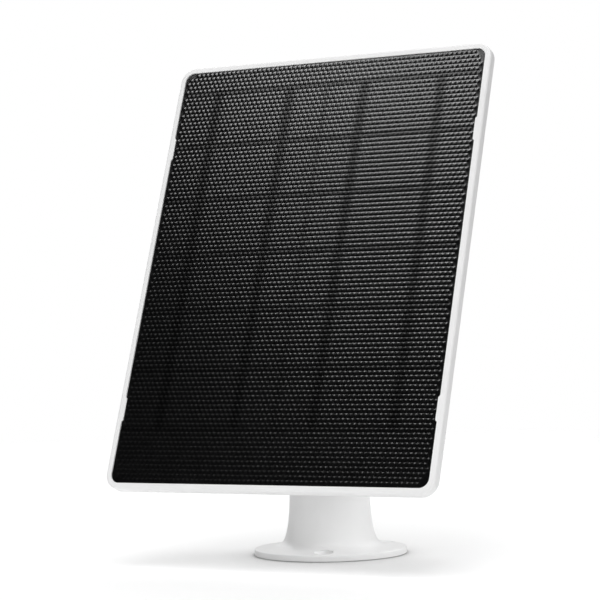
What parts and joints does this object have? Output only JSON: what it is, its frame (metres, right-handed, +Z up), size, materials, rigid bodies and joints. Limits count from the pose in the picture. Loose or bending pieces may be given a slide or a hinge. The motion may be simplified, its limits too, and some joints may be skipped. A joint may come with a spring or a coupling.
{
  "type": "solar charging panel on ball-joint stand",
  "caption": "Portrait solar charging panel in a white frame, on a round trumpet stand with a lockable ball joint that pans, tilts and turns the panel.",
  "frame": {"origin": "centre of the foot's underside, on the pan axis", "axes": "+Z up along the stem, the panel faces -Y and leans back, +X to the right of someone who faces the panel"},
  "size_m": [0.1402, 0.088, 0.2005],
  "materials": {
    "white_shell": "satin moulded ABS with a fine grain",
    "bearing_plastic": "acetal, smooth",
    "seal_rubber": "matt black silicone",
    "steel": "zinc plated",
    "ball_metal": "satin nickel plated",
    "solar_film": "embossed black polymer film",
    "clear_bed": "clear bed over a black back",
    "silicon_cell": "dark monocrystalline silicon",
    "tinned_ribbon": "tinned copper",
    "back_laminate": "black glass-fibre laminate",
    "foam_tape": "closed-cell foam tape",
    "brass_insert": "machined",
    "circuit_board": "green solder mask",
    "ferrite": "matt ferrite",
    "chip_epoxy": "moulded epoxy",
    "capacitor_ceramic": "fired ceramic",
    "connector_plastic": "natural nylon",
    "lead_red": "silicone insulation",
    "lead_black": "silicone insulation"
  },
  "bodies": {
    "stand": {"stand_body": "white_shell", "pan_friction_washer": "bearing_plastic"},
    "turret": {"socket_head": "white_shell", "ball_seat": "bearing_plastic", "pressure_ring": "seal_rubber", "pan_screw": "steel", "pan_spring_washer": "steel", "pan_nut": "steel"},
    "lock_ring": {"lock_ring": "white_shell"},
    "ball_arm": {"stud_ball": "ball_metal", "threaded_stud": "steel"},
    "jam_nut": {"jam_nut": "ball_metal"},
    "panel": {"panel_frame": "white_shell", "front_film": "solar_film", "encapsulant": "clear_bed", "solar_cells": "silicon_cell", "bus_ribbons": "tinned_ribbon", "end_ribbons": "tinned_ribbon", "backsheet": "back_laminate", "adhesive_tape": "foam_tape", "perimeter_seal": "seal_rubber", "back_cover": "white_shell", "cover_screws": "steel", "thread_insert": "brass_insert", "hub_washer": "seal_rubber", "regulator_board": "circuit_board", "board_screws": "steel", "inductor": "ferrite", "controller_chip": "chip_epoxy", "capacitors": "capacitor_ceramic", "diodes": "chip_epoxy", "terminal_block": "connector_plastic", "lead_positive": "lead_red", "lead_negative": "lead_black", "cable_gland": "seal_rubber", "gland_nut": "connector_plastic"}
  },
  "joints": [
    {"name": "pan", "type": "hinge", "parent": "stand", "child": "turret", "pos_m": [0, 0, 0.0738], "axis": [0, 0, 1], "continuous": true},
    {"name": "lock_ring_turn", "type": "hinge", "parent": "turret", "child": "lock_ring", "pos_m": [0, 0, 0.082], "axis": [0, 0, 1], "range_deg": [0, 120]},
    {"name": "tilt", "type": "hinge", "parent": "turret", "child": "ball_arm", "pos_m": [0, 0, 0.095], "axis": [-1, 0, 0], "range_deg": [-22, 68]},
    {"name": "jam_nut_turn", "type": "hinge", "parent": "ball_arm", "child": "jam_nut", "pos_m": [0, -0.01391, 0.10062], "axis": [0, -0.9272, 0.3746], "range_deg": [0, 360]},
    {"name": "panel_spin", "type": "hinge", "parent": "ball_arm", "child": "panel", "pos_m": [0, -0.01669, 0.10174], "axis": [0, -0.9272, 0.3746], "range_deg": [-90, 90]}
  ]
}
